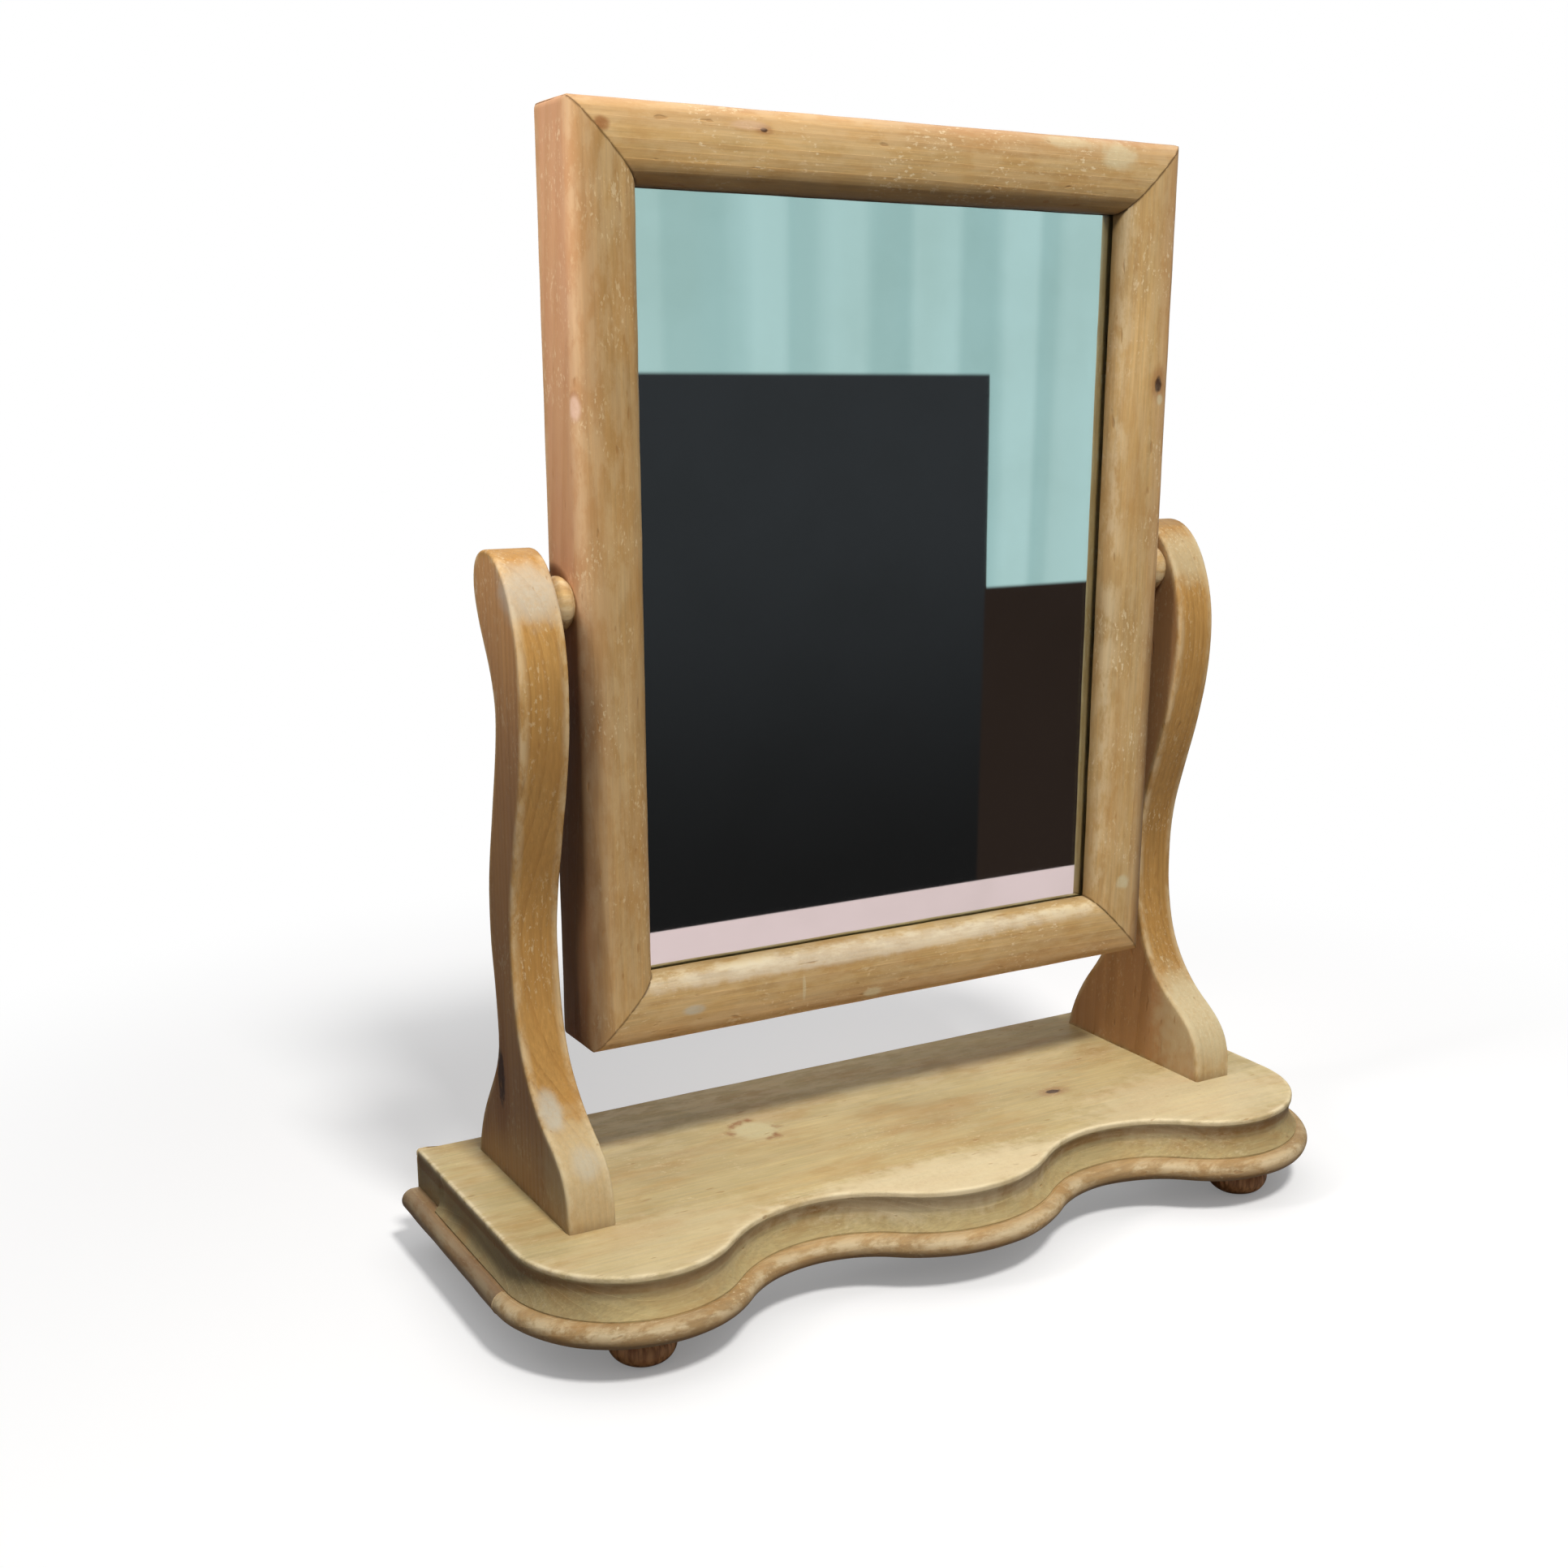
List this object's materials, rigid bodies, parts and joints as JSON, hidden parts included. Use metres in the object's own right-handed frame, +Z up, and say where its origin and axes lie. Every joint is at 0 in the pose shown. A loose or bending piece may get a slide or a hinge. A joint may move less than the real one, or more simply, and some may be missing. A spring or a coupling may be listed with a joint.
{
  "type": "swing toilet mirror",
  "caption": "Dressing table mirror: moulded wooden frame swinging between S-shaped uprights on a serpentine-fronted base with bun feet.",
  "frame": {"origin": "on the surface it stands on, at the middle of the object's width and depth", "axes": "+Z up, +X to the right as seen from the front, -Y towards the user; the glass faces -Y at rest"},
  "size_m": [0.606, 0.2425, 0.6888],
  "materials": {
    "pine": "old waxed pine, satin, worn pale on the arrises",
    "dark_wood": "dark stained turned wood, satin",
    "hardwood": "plain turned or sawn hardwood",
    "deal": "unpolished deal, darkened with age",
    "glass": "clear plate glass",
    "silvering": "silvered back of the glass",
    "steel": "dull steel wood screws",
    "brass": "dull brass wood screws"
  },
  "bodies": {
    "stand": {"base_board": "pine", "plinth_front": "pine", "plinth_left": "pine", "plinth_right": "pine", "plinth_back": "pine", "plinth_screws": "steel", "foot_front_left": "dark_wood", "foot_front_right": "dark_wood", "foot_back_left": "dark_wood", "foot_back_right": "dark_wood", "left_upright": "pine", "right_upright": "pine", "upright_screws": "steel"},
    "mirror": {"top_rail": "pine", "bottom_rail": "pine", "left_stile": "pine", "right_stile": "pine", "mitre_keys": "hardwood", "mirror_glass": "glass", "silvering": "silvering", "glass_blocks": "deal", "backboard": "deal", "backboard_screws": "brass", "left_boss": "pine", "right_boss": "pine", "left_pivot_pin": "hardwood", "right_pivot_pin": "hardwood"}
  },
  "joints": [
    {"name": "mirror_swing", "type": "hinge", "parent": "stand", "child": "mirror", "pos_m": [0, 0.03275, 0.4195], "axis": [1, 0, 0], "continuous": true}
  ]
}
